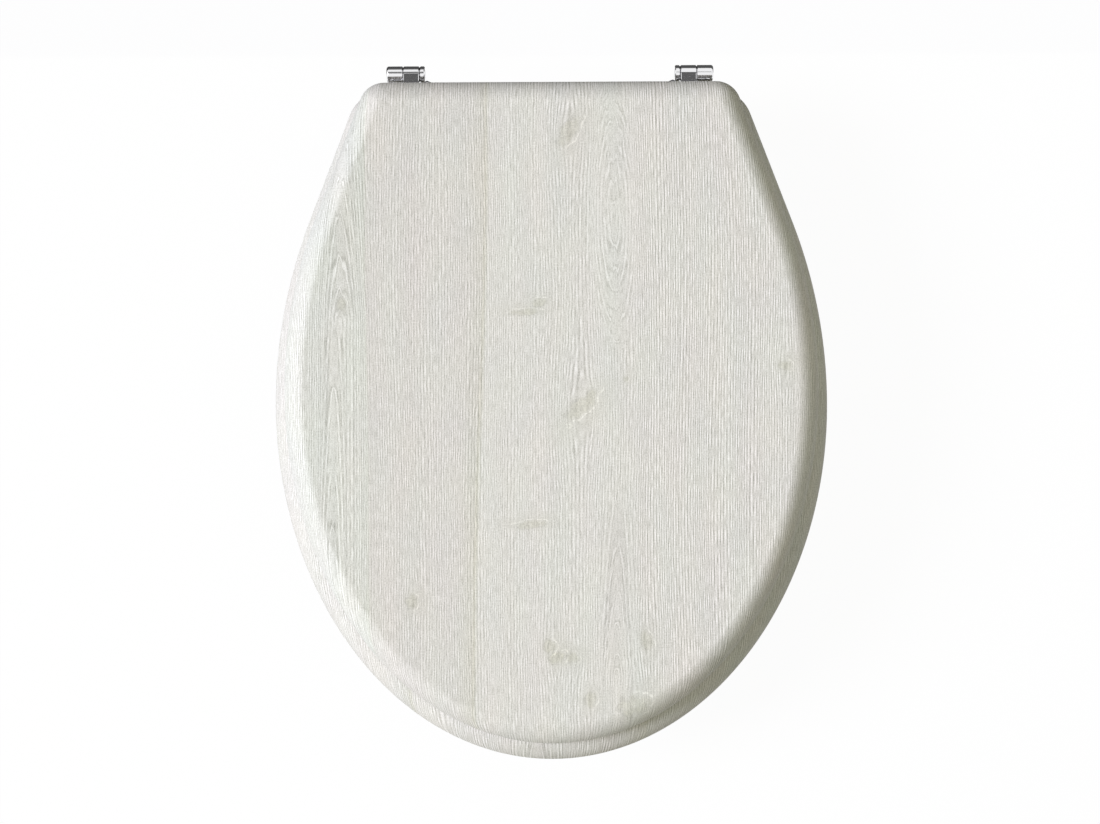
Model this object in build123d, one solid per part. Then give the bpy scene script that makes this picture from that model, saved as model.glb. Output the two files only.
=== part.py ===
from build123d import *
import os
from math import acos, atan2, cos, radians, sin, sqrt, tan

# Wood-board toilet seat with lid, hinges and bowl fixings, in millimetres.
# X runs to the right, Y to the back and Z up. The origin lies midway between the
# two fixing bolts, on the bowl's top face, where the gaskets and seat buffers rest.

# Lid panel: a flat board with a large rounding along its upper edge
lid_width = 352.0
lid_length = 436.0
lid_thickness = 18.0
lid_widest = 203.0  # from the back edge to the widest place
lid_side_radius = 320.0
lid_side_taper = 21.0  # lean of the straight sides behind, in degrees
lid_corner_radius = 17.0
lid_upper_round = 14.0
lid_lower_round = 3.0

# Seat ring: a board with an egg-shaped hole, a little larger than the lid
seat_width = 370.0
seat_length = 448.7
seat_thickness = 18.0
seat_widest = 211.0
seat_side_radius = 340.0
seat_side_taper = 21.0
seat_corner_radius = 25.0
seat_upper_round = 14.0
seat_lower_round = 3.0
ring_front = 68.0  # width of the ring in front, at the sides and behind
ring_side = 72.0
ring_back = 98.0
round_margin = 0.5  # wall that a rounding leaves

# Hinge barrels: an ear, the lid's knuckle and the seat's knuckle in a row on one pin
ear_offset = 82.9  # from the middle of the seat to the ear's inner face
ear_thickness = 3.3
lid_knuckle_length = 10.3
seat_knuckle_length = 10.8
knuckle_end_wall = 2.5
knuckle_end_round = 1.6
knuckle_edge_chamfer = 0.4
barrel_radius = 5.4
pin_radius = 2.5
pin_chamfer = 0.4
pin_end_gap = 0.3
bush_wall = 1.0
bush_flange_width = 1.2
bush_flange_thickness = 0.4
axis_setback = 13.0  # hinge axis behind the fixing bolts
lid_edge_clearance = 1.4  # barrel to the lid's back edge
seat_edge_clearance = 3.1  # barrel to the seat's back edge

# Leaves of the brackets, screwed to the undersides of the lid and the seat
leaf_thickness = 3.0
leaf_clearance = 4.0  # lid leaf above the seat
leaf_corner_radius = 5.0
leaf_root_radius = 2.0
leaf_inset = 2.0  # leaf's pad from the board's back edge
lid_leaf_width = 30.0
lid_leaf_length = 27.0
lid_screw_spacing = 15.0
seat_leaf_width = 28.0
seat_leaf_length = 34.0
seat_screw_spacing = 15.0
seat_web_thickness = 3.0
seat_web_gap = 0.3

# Countersunk wood screws
screw_length = 15.0
screw_radius = 2.0
screw_head_radius = 4.0
screw_tip_length = 4.0
screw_tip_radius = 0.4
screw_slot_width = 1.0
screw_slot_length = 4.4
screw_slot_depth = 1.6

# Hinge posts: foot on the bowl, web and ear in one casting
foot_radius = 9.5
foot_thickness = 3.5
foot_clearance = 2.0  # foot below the seat
foot_edge_chamfer = 0.8
web_foot_front = 7.2  # web at the foot, in front of the hinge axis
web_foot_rear = 0.5
web_rib = 3.0  # rib between the foot and the web
ear_edge_chamfer = 0.6

# Bowl fixings: gasket, coach bolt, washers and wing nut
bolt_spacing = 155.0
bowl_thickness = 18.0  # china that the bolts clamp
bolt_radius = 3.0
bolt_thread_radius = 2.6
bolt_thread_length = 40.0
bolt_end_chamfer = 1.0
bolt_head_radius = 6.0
bolt_head_height = 1.5
bolt_neck_height = 2.0
gasket_thickness = 1.5
gasket_hole_clearance = 1.6
rubber_washer_radius = 12.0
rubber_washer_thickness = 4.0
rubber_washer_lip = 1.0
clamp_washer_radius = 11.0
clamp_washer_thickness = 2.0
nut_flange_radius = 9.5
nut_flange_height = 2.5
nut_hub_radius = 7.0
nut_height = 13.0
nut_wing_span = 42.0
nut_wing_drop = 3.0
nut_wing_depth = 12.0
nut_wing_thickness = 4.0
nut_wing_round = 4.0
nut_edge_chamfer = 1.2

# Buffers with pegs in blind holes
seat_buffer_length = 36.0
seat_buffer_width = 13.0
seat_buffer_peg_spacing = 18.0
seat_buffer_front_angle = 50.0  # along the ring, from its widest place
seat_buffer_rear_angle = 35.0
lid_buffer_radius = 8.0
lid_buffer_front_angle = 33.0
lid_buffer_rear_angle = 20.0
buffer_draft = 8.0
buffer_edge_chamfer = 1.0
peg_radius = 2.5
peg_length = 8.0

# Clearances of the fits
running_clearance = 0.05  # pin in its bushes, on the radius
seating_clearance = 0.02  # bushes, pins and pegs in their holes, on the radius
side_clearance = 0.1  # between the knuckles, along the pin
hole_clearance = 0.1  # bolts and screws in their holes, on the radius

# Levels, from the bowl's top face up
foot_bottom_z = gasket_thickness
foot_top_z = foot_bottom_z + foot_thickness
seat_bottom_z = foot_top_z + foot_clearance
seat_top_z = seat_bottom_z + seat_thickness
lid_leaf_z = seat_top_z + leaf_clearance
lid_bottom_z = lid_leaf_z + leaf_thickness
lid_buffer_height = lid_bottom_z - seat_top_z
seat_leaf_z = seat_bottom_z - leaf_thickness
axis_z = lid_bottom_z - barrel_radius

# Places along Y and X
axis_y = axis_setback
lid_back_y = axis_y - barrel_radius - lid_edge_clearance
seat_back_y = axis_y - barrel_radius - seat_edge_clearance
bolt_x = bolt_spacing / 2
ear_outer_x = ear_offset + ear_thickness
lid_knuckle_x = ear_outer_x + side_clearance + bush_flange_thickness
lid_knuckle_end_x = lid_knuckle_x + lid_knuckle_length
seat_knuckle_x = lid_knuckle_end_x + side_clearance + bush_flange_thickness
seat_knuckle_end_x = seat_knuckle_x + seat_knuckle_length
bush_bore_radius = pin_radius + running_clearance
bush_radius = bush_bore_radius + bush_wall
knuckle_bore_radius = bush_radius + seating_clearance

# Ring's hole and the line along the middle of the ring
seat_widest_y = seat_back_y - seat_widest
hole_half_width = seat_width / 2 - ring_side
hole_front_reach = seat_length - seat_widest - ring_front
hole_back_reach = seat_widest - ring_back
middle_half_width = seat_width / 2 - ring_side / 2
middle_front_reach = seat_length - seat_widest - ring_front / 2
middle_back_reach = seat_widest - ring_back / 2

from_below = (Align.CENTER, Align.CENTER, Align.MIN)
from_above = (Align.CENTER, Align.CENTER, Align.MAX)


def board_outline(width, length, widest, side_radius, taper, corner_radius, back_y):
    """Half ellipse in front, arched sides, then straight sides that lean in to the back edge."""
    half = width / 2
    lean = radians(taper)
    widest_y = back_y - widest
    lean_x = half - side_radius * (1 - cos(lean))
    lean_y = widest_y + side_radius * sin(lean)
    corner_x = lean_x - (back_y - lean_y) * tan(lean)
    front = EllipticalCenterArc((0, widest_y), half, length - widest, 180, arc_size=180)
    back = Line((corner_x, back_y), (-corner_x, back_y))
    side = CenterArc((half - side_radius, widest_y), side_radius, 0, taper)
    straight = Line((lean_x, lean_y), (corner_x, back_y))
    sides = [side, straight, mirror(side, Plane.YZ), mirror(straight, Plane.YZ)]
    outline = make_face(Curve() + [front, back] + sides)
    corners = outline.vertices().group_by(Axis.Y)[-1]
    return fillet(corners, corner_radius)


def upper_round(radius, thickness, lower_radius, corner_radius):
    """The upper rounding, limited by the board's own wall and corners."""
    return min(radius, thickness - lower_radius - round_margin, corner_radius - round_margin)


def ring_point(angle, reach):
    """A point on the middle of the ring, and the ring's direction there in degrees."""
    along = radians(angle)
    x = middle_half_width * cos(along)
    y = seat_widest_y + reach * sin(along)
    turn = Vector(-middle_half_width * sin(along), reach * cos(along))
    return x, y, Vector(1, 0).get_signed_angle(turn, Vector(0, 0, 1))


def barrel(start_x, length, radius):
    """A cylinder on the hinge axis, from start_x outwards."""
    return Pos(start_x, axis_y, axis_z) * Rot(0, 90, 0) * Cylinder(radius, length, align=from_below)


def screw_places_on_lid():
    middle_x = (lid_knuckle_x + lid_knuckle_end_x) / 2
    middle_y = lid_back_y - leaf_inset - lid_leaf_length / 2
    half = lid_screw_spacing / 2
    return [Pos(middle_x + side * half, middle_y, lid_leaf_z) for side in (-1, 1)]


def screw_places_on_seat():
    middle_x = (seat_knuckle_x + seat_knuckle_end_x) / 2
    middle_y = seat_back_y - leaf_inset - seat_leaf_length / 2
    half = seat_screw_spacing / 2
    return [Pos(middle_x, middle_y + side * half, seat_leaf_z) for side in (-1, 1)]


def wood_screw():
    """Countersunk cross-head screw that points up from its head's flat face."""
    head_height = screw_head_radius - screw_radius
    shank_height = screw_length - head_height - screw_tip_length
    head = Cone(screw_head_radius, screw_radius, head_height, align=from_below)
    shank = Pos(0, 0, head_height) * Cylinder(screw_radius, shank_height, align=from_below)
    tip_z = head_height + shank_height
    tip = Pos(0, 0, tip_z) * Cone(screw_radius, screw_tip_radius, screw_tip_length, align=from_below)
    slot = Box(screw_slot_length, screw_slot_width, screw_slot_depth, align=from_below)
    return head + shank + tip - slot - Rot(0, 0, 90) * slot


def screw_space():
    """The room that a screw takes in its leaf and board."""
    wide = screw_head_radius + hole_clearance
    narrow = screw_radius + hole_clearance
    sink = Cone(wide, narrow, wide - narrow, align=from_below)
    return sink + Cylinder(narrow, screw_length + hole_clearance, align=from_below)


def both_sides(places, piece):
    """Copies of a piece at each place on the right and at its mirror place on the left."""
    right = [place * piece for place in places]
    return right + [mirror(copy, Plane.YZ) for copy in right]


def peg_hole():
    return Cylinder(peg_radius + seating_clearance, peg_length + seating_clearance, align=from_below)


def seat_buffer_places():
    front = ring_point(-seat_buffer_front_angle, middle_front_reach)
    rear = ring_point(seat_buffer_rear_angle, middle_back_reach)
    return {"front": front, "rear": rear}


def lid_buffer_places():
    front = ring_point(-lid_buffer_front_angle, middle_front_reach)
    rear = ring_point(lid_buffer_rear_angle, middle_back_reach)
    return {"front": front, "rear": rear}


def seat_buffer():
    """Long drafted block with two pegs, standing on Z = 0."""
    top = Pos(0, 0, seat_bottom_z) * SlotOverall(seat_buffer_length, seat_buffer_width)
    block = extrude(top, -seat_bottom_z, taper=buffer_draft)
    block = chamfer(block.faces().sort_by(Axis.Z)[0].edges(), buffer_edge_chamfer)
    peg = Pos(0, 0, seat_bottom_z) * Cylinder(peg_radius, peg_length, align=from_below)
    half = seat_buffer_peg_spacing / 2
    return block + Pos(-half, 0, 0) * peg + Pos(half, 0, 0) * peg


def lid_buffer():
    """Round drafted stop with one peg, standing on the seat's top face."""
    foot_radius_lost = lid_buffer_height * tan(radians(buffer_draft))
    stop = Cone(lid_buffer_radius - foot_radius_lost, lid_buffer_radius, lid_buffer_height, align=from_below)
    stop = chamfer(stop.faces().sort_by(Axis.Z)[0].edges(), buffer_edge_chamfer)
    peg = Pos(0, 0, lid_buffer_height) * Cylinder(peg_radius, peg_length, align=from_below)
    return Pos(0, 0, seat_top_z) * (stop + peg)


def lid_panel():
    outline = board_outline(
        lid_width, lid_length, lid_widest, lid_side_radius, lid_side_taper, lid_corner_radius, lid_back_y
    )
    board = extrude(Pos(0, 0, lid_bottom_z) * outline, lid_thickness)
    upper = upper_round(lid_upper_round, lid_thickness, lid_lower_round, lid_corner_radius)
    board = fillet(board.faces().sort_by(Axis.Z)[-1].edges(), upper)
    board = fillet(board.faces().sort_by(Axis.Z)[0].edges(), lid_lower_round)
    pegs = [Pos(x, y, lid_bottom_z) for x, y, turn in lid_buffer_places().values()]
    return board - both_sides(screw_places_on_lid(), screw_space()) - both_sides(pegs, peg_hole())


def seat_ring():
    outline = board_outline(
        seat_width, seat_length, seat_widest, seat_side_radius, seat_side_taper, seat_corner_radius, seat_back_y
    )
    front = EllipticalCenterArc((0, seat_widest_y), hole_half_width, hole_front_reach, 180, arc_size=180)
    back = EllipticalCenterArc((0, seat_widest_y), hole_half_width, hole_back_reach, 0, arc_size=180)
    hole = make_face(Curve() + [front, back])
    board = extrude(Pos(0, 0, seat_bottom_z) * (outline - hole), seat_thickness)
    upper = upper_round(seat_upper_round, seat_thickness, seat_lower_round, seat_corner_radius)
    board = fillet(board.faces().sort_by(Axis.Z)[-1].edges(), upper)
    board = fillet(board.faces().sort_by(Axis.Z)[0].edges(), seat_lower_round)
    half = seat_buffer_peg_spacing / 2
    pegs = []
    for x, y, turn in seat_buffer_places().values():
        pegs += [Pos(x, y, seat_bottom_z) * Rot(0, 0, turn) * Pos(side * half, 0, 0) for side in (-1, 1)]
    return board - both_sides(screw_places_on_seat(), screw_space()) - both_sides(pegs, peg_hole())


def leaf_pad(root_start_x, root_end_x, root_back_y, board_back_y, width, length):
    """Rounded plate under a board, with a narrower root that runs back to the hinge."""
    pad_back_y = board_back_y - leaf_inset
    middle_x = (root_start_x + root_end_x) / 2
    root_length = root_back_y - pad_back_y + leaf_corner_radius
    root_middle_y = root_back_y - root_length / 2
    pad = Pos(middle_x, pad_back_y - length / 2) * RectangleRounded(width, length, leaf_corner_radius)
    half_root = (root_end_x - root_start_x) / 2
    root = Pos(middle_x, root_middle_y) * Rectangle(2 * half_root, root_length)
    plate = pad + root
    near = [corner for corner in plate.vertices() if abs(corner.Y - pad_back_y) < round_margin]
    inner_corners = [corner for corner in near if abs(corner.X - middle_x) < half_root + round_margin]
    shoulder = width / 2 - half_root - leaf_corner_radius
    return fillet(inner_corners, min(leaf_root_radius, shoulder - round_margin))


def lid_bracket():
    """Inner knuckle with the leaf that carries the lid, flush with the knuckle's top."""
    leaf_rise = lid_leaf_z - axis_z
    tongue_y = axis_y - sqrt(barrel_radius**2 - leaf_rise**2)
    pad_y = lid_back_y - leaf_inset
    top = (axis_y, lid_bottom_z)
    under = (tongue_y, lid_leaf_z)
    round_back = ThreePointArc(top, (axis_y, axis_z - barrel_radius), under)
    tongue = Polyline(under, (pad_y, lid_leaf_z), (pad_y, lid_bottom_z), top)
    profile = make_face(Curve() + [round_back, tongue])
    knuckle = extrude(Plane.YZ.offset(lid_knuckle_x) * profile, lid_knuckle_length)
    knuckle = chamfer(knuckle.edges().filter_by(GeomType.CIRCLE), knuckle_edge_chamfer)
    plate = leaf_pad(lid_knuckle_x, lid_knuckle_end_x, tongue_y, lid_back_y, lid_leaf_width, lid_leaf_length)
    leaf = extrude(Pos(0, 0, lid_leaf_z) * plate, leaf_thickness)
    bore = barrel(lid_knuckle_x, lid_knuckle_length, knuckle_bore_radius)
    return knuckle + leaf - bore - [place * screw_space() for place in screw_places_on_lid()]


def seat_bracket():
    """Outer knuckle, closed at its outer end, with a web down to the leaf under the seat."""
    knuckle = barrel(seat_knuckle_x, seat_knuckle_length, barrel_radius)
    rims = knuckle.edges().filter_by(GeomType.CIRCLE).sort_by(Axis.X)
    knuckle = fillet(rims[-1], knuckle_end_round)
    rims = knuckle.edges().filter_by(GeomType.CIRCLE).sort_by(Axis.X)
    knuckle = chamfer(rims[0], knuckle_edge_chamfer)
    web_end_x = seat_knuckle_end_x - knuckle_end_round
    front_y = seat_back_y + seat_web_gap
    rear_y = front_y + seat_web_thickness
    web_outline = Polyline(
        (front_y, seat_leaf_z),
        (rear_y, seat_leaf_z),
        (rear_y, axis_z - 2 * barrel_radius),
        (axis_y, axis_z - barrel_radius),
        (axis_y, axis_z),
        (axis_y - barrel_radius, axis_z),
        (front_y, axis_z - barrel_radius),
        close=True,
    )
    web = extrude(Plane.YZ.offset(seat_knuckle_x) * make_face(web_outline), web_end_x - seat_knuckle_x)
    plate = leaf_pad(seat_knuckle_x, web_end_x, rear_y, seat_back_y, seat_leaf_width, seat_leaf_length)
    leaf = extrude(Pos(0, 0, seat_leaf_z) * plate, leaf_thickness)
    bore = barrel(seat_knuckle_x, seat_knuckle_length - knuckle_end_wall, knuckle_bore_radius)
    return knuckle + web + leaf - bore - [place * screw_space() for place in screw_places_on_seat()]


def bush(start_x, length):
    """Nylon sleeve with a thin flange at its inner end."""
    flange = barrel(start_x - bush_flange_thickness, bush_flange_thickness, bush_radius + bush_flange_width)
    bore = barrel(start_x - bush_flange_thickness, bush_flange_thickness + length, bush_bore_radius)
    return flange + barrel(start_x, length, bush_radius) - bore


def hinge_pin():
    """Plain pin, flush with the ear and ending short of the closed knuckle."""
    length = seat_knuckle_end_x - knuckle_end_wall - pin_end_gap - ear_offset
    pin = barrel(ear_offset, length, pin_radius)
    return chamfer(pin.edges().filter_by(GeomType.CIRCLE), pin_chamfer)


def drawn_out(middle, radius, first, second):
    """A circle drawn out by tangent lines to two corners, the second to the left of the first."""
    centre = Vector(*middle)
    touches = []
    for corner, side in ((first, -1), (second, 1)):
        way = Vector(*corner) - centre
        turn = atan2(way.Y, way.X) + side * acos(radius / way.length)
        touches.append(centre + Vector(cos(turn), sin(turn)) * radius)
    between = Vector(*first) + Vector(*second) - centre * 2
    arc = ThreePointArc(touches[1], centre - between.normalized() * radius, touches[0])
    return make_face(Curve() + [arc, Polyline(touches[0], first, second, touches[1])])


def foot_outline():
    """Round pad about the bolt, drawn out to the web's foot."""
    rear_y = axis_y - web_foot_rear
    return drawn_out((bolt_x, 0), foot_radius, (ear_outer_x, rear_y), (ear_offset, rear_y))


def bolt_neck(clearance):
    """Square under the bolt's head that keeps it from turning."""
    width = 2 * (bolt_radius + clearance)
    return Pos(bolt_x, 0, foot_bottom_z) * Box(width, width, bolt_neck_height + clearance, align=from_below)


def hinge_post():
    """Foot, web and ear in one casting."""
    foot = extrude(Pos(0, 0, foot_bottom_z) * foot_outline(), foot_thickness)
    foot = chamfer(foot.faces().sort_by(Axis.Z)[-1].edges(), foot_edge_chamfer)
    front_corner = (axis_y - web_foot_front, foot_bottom_z)
    rear_corner = (axis_y - web_foot_rear, foot_bottom_z)
    ear_outline = drawn_out((axis_y, axis_z), barrel_radius, front_corner, rear_corner)
    ear = extrude(Plane.YZ.offset(ear_offset) * ear_outline, ear_thickness)
    ear_faces = ear.faces().sort_by(Axis.X)
    ear = chamfer(ear_faces[0].edges() + ear_faces[-1].edges(), ear_edge_chamfer)
    rib_outline = Polyline(
        (ear_offset, foot_bottom_z),
        (ear_offset - web_rib, foot_bottom_z),
        (ear_offset - web_rib, foot_top_z),
        (ear_offset, foot_top_z + web_rib),
        close=True,
    )
    rib_rear_y = axis_y - web_foot_rear - foot_edge_chamfer * 2
    rib_width = (web_foot_front - web_foot_rear) / 2
    rib = extrude(Plane.XZ.offset(-rib_rear_y) * make_face(rib_outline), rib_width)
    post = foot + ear + rib
    head_room = bolt_head_radius + hole_clearance
    head_z = foot_bottom_z + bolt_neck_height
    head_space = Pos(bolt_x, 0, head_z) * Cylinder(head_room, foot_radius, align=from_below)
    pin_hole = barrel(ear_offset, ear_thickness, pin_radius + seating_clearance)
    return post - bolt_neck(hole_clearance) - head_space - pin_hole


def fixing_bolt():
    """Coach bolt: flat head, square neck, plain shank through the bowl, then the thread."""
    head_z = foot_bottom_z + bolt_neck_height
    head = Pos(bolt_x, 0, head_z) * Cylinder(bolt_head_radius, bolt_head_height, align=from_below)
    shank_length = foot_bottom_z + bowl_thickness
    shank = Pos(bolt_x, 0, foot_bottom_z) * Cylinder(bolt_radius, shank_length, align=from_above)
    thread = Cylinder(bolt_thread_radius, bolt_thread_length, align=from_above)
    thread = chamfer(thread.edges().sort_by(Axis.Z)[0], bolt_end_chamfer)
    return head + bolt_neck(0) + shank + Pos(bolt_x, 0, -bowl_thickness) * thread


def foot_gasket():
    """Rubber sheet in the foot's outline, with a wide hole for the bolt."""
    sheet = foot_outline() - Pos(bolt_x, 0) * Circle(bolt_radius + gasket_hole_clearance)
    return extrude(sheet, gasket_thickness)


def rubber_washer():
    """Washer with a tapered upper rim that centres in the bowl's hole."""
    top = Pos(bolt_x, 0, -bowl_thickness)
    washer = top * Cylinder(rubber_washer_radius, rubber_washer_thickness, align=from_above)
    washer = chamfer(washer.edges().sort_by(Axis.Z)[-1], rubber_washer_lip)
    return washer - top * bolt_passage(rubber_washer_thickness)


def clamp_washer():
    place = Pos(bolt_x, 0, -bowl_thickness - rubber_washer_thickness)
    washer = Cylinder(clamp_washer_radius, clamp_washer_thickness, align=from_above)
    return place * (washer - bolt_passage(clamp_washer_thickness))


def bolt_passage(depth):
    """The thread's way through a piece that hangs below its own top face."""
    return Cylinder(bolt_thread_radius + hole_clearance, depth, align=from_above)


def wing_nut():
    """Moulded nut with two drooping wings."""
    flange = Cylinder(nut_flange_radius, nut_flange_height, align=from_above)
    hub = Cylinder(nut_hub_radius, nut_height, align=from_above)
    hub = chamfer(hub.edges().sort_by(Axis.Z)[0], nut_edge_chamfer)
    half = nut_wing_span / 2
    tip_z = -nut_flange_height - nut_wing_drop
    right = [(nut_hub_radius, -nut_flange_height), (half, tip_z), (half, tip_z - nut_wing_depth)]
    left = [(-x, z) for x, z in reversed(right)]
    lower = [(nut_hub_radius, -nut_height), (-nut_hub_radius, -nut_height)]
    wings_outline = make_face(Polyline(*right, *lower, *left, close=True))
    tips = [corner for corner in wings_outline.vertices() if abs(corner.X) > nut_hub_radius + round_margin]
    wings_outline = fillet(tips, nut_wing_round)
    wings = extrude(Plane.XZ * wings_outline, nut_wing_thickness / 2, both=True)
    nut = flange + hub + wings - bolt_passage(nut_height)
    return Pos(bolt_x, 0, -bowl_thickness - rubber_washer_thickness - clamp_washer_thickness) * nut


# Pieces that have a left and a right, made on the right
handed = {
    "hinge_post": hinge_post(),
    "hinge_pin": hinge_pin(),
    "fixing_bolt": fixing_bolt(),
    "foot_gasket": foot_gasket(),
    "rubber_washer": rubber_washer(),
    "clamp_washer": clamp_washer(),
    "wing_nut": wing_nut(),
    "seat_bracket": seat_bracket(),
    "seat_bush": bush(seat_knuckle_x, seat_knuckle_length - knuckle_end_wall),
    "lid_bracket": lid_bracket(),
    "lid_bush": bush(lid_knuckle_x, lid_knuckle_length),
}
for where, (x, y, turn) in seat_buffer_places().items():
    handed[f"seat_buffer_{where}"] = Pos(x, y, 0) * Rot(0, 0, turn) * seat_buffer()
for where, (x, y, turn) in lid_buffer_places().items():
    handed[f"lid_buffer_{where}"] = Pos(x, y, 0) * lid_buffer()

nodes = {
    "seat_ring": seat_ring(),
    "lid_panel": lid_panel(),
    "seat_bracket_screws": Compound(children=both_sides(screw_places_on_seat(), wood_screw())),
    "lid_bracket_screws": Compound(children=both_sides(screw_places_on_lid(), wood_screw())),
}
for name, piece in handed.items():
    nodes[f"{name}_right"] = piece
    nodes[f"{name}_left"] = mirror(piece, Plane.YZ)

os.makedirs("parts", exist_ok=True)
for name, piece in nodes.items():
    export_step(piece, f"parts/{name}.step")
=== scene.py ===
from math import atan2, cos, pi, radians, sin, tau
import bpy
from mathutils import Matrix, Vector


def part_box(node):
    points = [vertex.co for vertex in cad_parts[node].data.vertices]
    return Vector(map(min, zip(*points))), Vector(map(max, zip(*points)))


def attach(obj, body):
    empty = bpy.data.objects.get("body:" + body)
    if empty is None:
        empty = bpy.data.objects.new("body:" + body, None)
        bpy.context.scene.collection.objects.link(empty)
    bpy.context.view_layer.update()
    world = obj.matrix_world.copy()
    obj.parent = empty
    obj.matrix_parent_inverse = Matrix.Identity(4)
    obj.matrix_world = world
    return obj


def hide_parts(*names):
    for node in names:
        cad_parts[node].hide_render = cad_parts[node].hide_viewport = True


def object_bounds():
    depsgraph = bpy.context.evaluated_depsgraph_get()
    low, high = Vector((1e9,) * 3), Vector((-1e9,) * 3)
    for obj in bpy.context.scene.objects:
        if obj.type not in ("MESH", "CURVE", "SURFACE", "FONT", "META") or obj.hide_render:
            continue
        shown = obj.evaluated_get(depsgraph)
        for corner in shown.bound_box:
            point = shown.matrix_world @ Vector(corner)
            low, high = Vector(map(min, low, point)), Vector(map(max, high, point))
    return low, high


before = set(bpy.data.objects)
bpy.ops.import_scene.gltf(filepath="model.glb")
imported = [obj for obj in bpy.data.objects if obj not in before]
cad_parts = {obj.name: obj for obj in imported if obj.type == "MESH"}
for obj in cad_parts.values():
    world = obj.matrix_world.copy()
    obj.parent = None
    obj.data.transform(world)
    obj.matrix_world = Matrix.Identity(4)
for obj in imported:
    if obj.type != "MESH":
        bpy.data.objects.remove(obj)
cad_low, cad_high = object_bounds()


# Hinge posts and the brackets' knuckles: zinc die castings, polished and chromed. The posts
# stand on the bowl, the outer knuckles carry the seat and the inner knuckles carry the lid.
# The chrome is bright, with faint waves from the casting and a few hairline wipe marks.
sides = ("left", "right")
mm = 0.001
wipe_mark = (6.0, 0.5, 0.5)  # grain along X, Y and Z in millimetres
casting_wave = (5.0, 5.0, 5.0)
wave_depth = 0.02  # millimetres, as all depths of relief


class Field:
    """A value that varies over a surface or in a recipe, worked out by math nodes."""

    def __init__(self, tree, socket):
        self.tree = tree
        self.socket = socket

    def put(self, operation, *others):
        node = self.tree.nodes.new("ShaderNodeMath")
        node.operation = operation
        for socket, value in zip(node.inputs, (self, *others)):
            feed(self.tree, socket, value)
        return Field(self.tree, node.outputs[0])

    def __add__(self, other):
        return self.put("ADD", other)

    def __sub__(self, other):
        return self.put("SUBTRACT", other)

    def __mul__(self, other):
        return self.put("MULTIPLY", other)

    def __truediv__(self, other):
        return self.put("DIVIDE", other)

    __radd__ = __add__
    __rmul__ = __mul__

    def __rsub__(self, other):
        return self * -1 + other

    def above(self, floor):
        return self.put("MAXIMUM", floor)

    def size(self):
        return self.put("ABSOLUTE")

    def root(self):
        return self.put("SQRT")

    def wave(self):
        return self.put("SINE")

    def ramp(self, start, end):
        """Smooth step from 0 at start to 1 at end, which may be the lower of the two."""
        node = self.tree.nodes.new("ShaderNodeMapRange")
        node.interpolation_type = "SMOOTHSTEP"
        feed(self.tree, node.inputs["Value"], self)
        node.inputs["From Min"].default_value = min(start, end)
        node.inputs["From Max"].default_value = max(start, end)
        node.inputs["To Min"].default_value = float(start > end)
        node.inputs["To Max"].default_value = float(start < end)
        return Field(self.tree, node.outputs["Result"])


def feed(tree, socket, value):
    if isinstance(value, Field):
        tree.links.new(value.socket, socket)
    else:
        socket.default_value = value


def finish(name, colour, roughness, metallic=0.0):
    """A new material, with its node tree, its shader and the place on the object.

    The place is three fields, in millimetres.
    """
    material = bpy.data.materials.new(name)
    material.use_nodes = True
    tree = material.node_tree
    shader = tree.nodes["Principled BSDF"]
    shader.inputs["Base Color"].default_value = (*colour, 1)
    shader.inputs["Roughness"].default_value = roughness
    shader.inputs["Metallic"].default_value = metallic
    place = tree.nodes.new("ShaderNodeSeparateXYZ")
    tree.links.new(tree.nodes.new("ShaderNodeTexCoord").outputs["Object"], place.inputs[0])
    return material, tree, shader, [Field(tree, axis) / mm for axis in place.outputs]


def speckle(x, y, z, grain, detail=2.0):
    """Cloudy noise from 0 to 1, with a grain for each axis in millimetres."""
    tree = x.tree
    place = tree.nodes.new("ShaderNodeCombineXYZ")
    for socket, axis, step in zip(place.inputs, (x, y, z), grain):
        feed(tree, socket, axis / step if isinstance(axis, Field) else axis)
    noise = tree.nodes.new("ShaderNodeTexNoise")
    noise.noise_dimensions = "3D" if isinstance(z, Field) else "2D"
    noise.inputs["Scale"].default_value = 1.0
    noise.inputs["Detail"].default_value = detail
    tree.links.new(place.outputs[0], noise.inputs["Vector"])
    return Field(tree, noise.outputs["Fac"])


def emboss(shader, height, depth):
    """Relief of the surface: height from 0 to 1 over a depth in millimetres."""
    tree = height.tree
    bump = tree.nodes.new("ShaderNodeBump")
    bump.inputs["Distance"].default_value = depth * mm
    tree.links.new(height.socket, bump.inputs["Height"])
    tree.links.new(bump.outputs["Normal"], shader.inputs["Normal"])


def tint(shader, red, green, blue):
    tree = red.tree
    colour = tree.nodes.new("ShaderNodeCombineColor")
    for socket, value in zip(colour.inputs, (red, green, blue)):
        feed(tree, socket, value)
    tree.links.new(colour.outputs[0], shader.inputs["Base Color"])


def dress(material, *names):
    for name in names:
        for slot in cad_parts[name].material_slots:
            slot.material = material


chrome, tree, shader, (x, y, z) = finish("chrome", (0.86, 0.86, 0.87), 0.05, metallic=1.0)
wiped = speckle(x, y, z, wipe_mark).ramp(0.45, 0.8)
feed(tree, shader.inputs["Roughness"], 0.035 + wiped * 0.07)
emboss(shader, speckle(x, y, z, casting_wave), wave_depth)
for side in sides:
    dress(chrome, f"hinge_post_{side}", f"seat_bracket_{side}", f"lid_bracket_{side}")


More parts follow.
